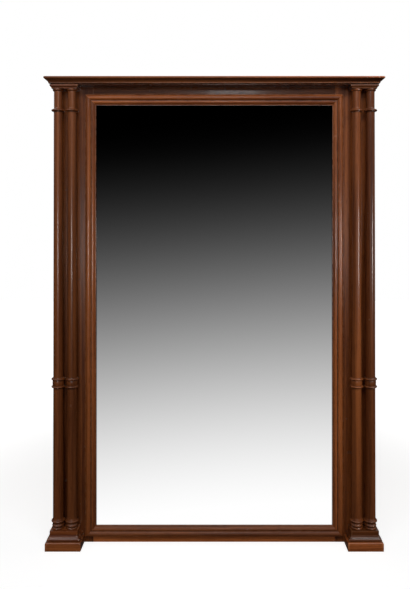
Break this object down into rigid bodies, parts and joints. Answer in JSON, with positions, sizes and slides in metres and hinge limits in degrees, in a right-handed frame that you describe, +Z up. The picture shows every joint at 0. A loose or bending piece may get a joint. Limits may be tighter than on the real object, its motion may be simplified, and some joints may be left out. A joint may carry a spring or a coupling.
{
  "type": "overmantel mirror",
  "caption": "Tall mahogany overmantel mirror: plate glass in a two-ridged sight moulding, paired turned columns on moulded plinths and a straight cornice, with hanging rings behind.",
  "frame": {"origin": "middle of the lower edge of the back, where the wall meets the mantel shelf", "axes": "+X to the viewer's right, +Y into the wall, +Z up"},
  "size_m": [1.2422, 0.1061, 1.73],
  "materials": {
    "mahogany": "French polished",
    "mirror": "silvered plate glass",
    "pine": "bare, aged",
    "oak": "bare",
    "leather": "matte",
    "brass": "dull",
    "steel": "dull"
  },
  "bodies": {
    "frame": {"left_stile": "mahogany", "right_stile": "mahogany", "top_rail": "mahogany", "bottom_rail": "mahogany", "sight_moulding_top": "mahogany", "sight_moulding_bottom": "mahogany", "sight_moulding_left": "mahogany", "sight_moulding_right": "mahogany", "column_left_outer": "mahogany", "column_left_inner": "mahogany", "column_right_inner": "mahogany", "column_right_outer": "mahogany", "plinth_slab_left": "mahogany", "plinth_slab_right": "mahogany", "plinth_cap_left": "mahogany", "plinth_cap_right": "mahogany", "abacus_left": "mahogany", "abacus_right": "mahogany", "cornice_board": "mahogany", "cornice_front": "mahogany", "cornice_return_left": "mahogany", "cornice_return_right": "mahogany", "left_backing_lath": "mahogany", "right_backing_lath": "mahogany", "mirror_plate": "mirror", "glazing_blocks": "pine", "left_backing_lower": "pine", "left_backing_upper": "pine", "right_backing_lower": "pine", "right_backing_upper": "pine", "back_board_1": "pine", "back_board_2": "pine", "back_board_3": "pine", "back_board_4": "pine", "back_board_5": "pine", "joint_pegs": "oak", "setting_pads": "leather", "hanger_strap_left": "brass", "hanger_strap_right": "brass", "back_board_screws": "steel", "cornice_screws": "steel", "abacus_screws": "steel", "plinth_screws": "steel", "hanger_screws": "steel"},
    "left_ring": {"hanger_ring_left": "brass"},
    "right_ring": {"hanger_ring_right": "brass"}
  },
  "joints": [
    {"name": "left_ring_swing", "type": "hinge", "parent": "frame", "child": "left_ring", "pos_m": [-0.53, -0.0059, 1.49], "axis": [1, 0, 0], "range_deg": [0, 180]},
    {"name": "right_ring_swing", "type": "hinge", "parent": "frame", "child": "right_ring", "pos_m": [0.53, -0.0059, 1.49], "axis": [1, 0, 0], "range_deg": [0, 180]}
  ]
}
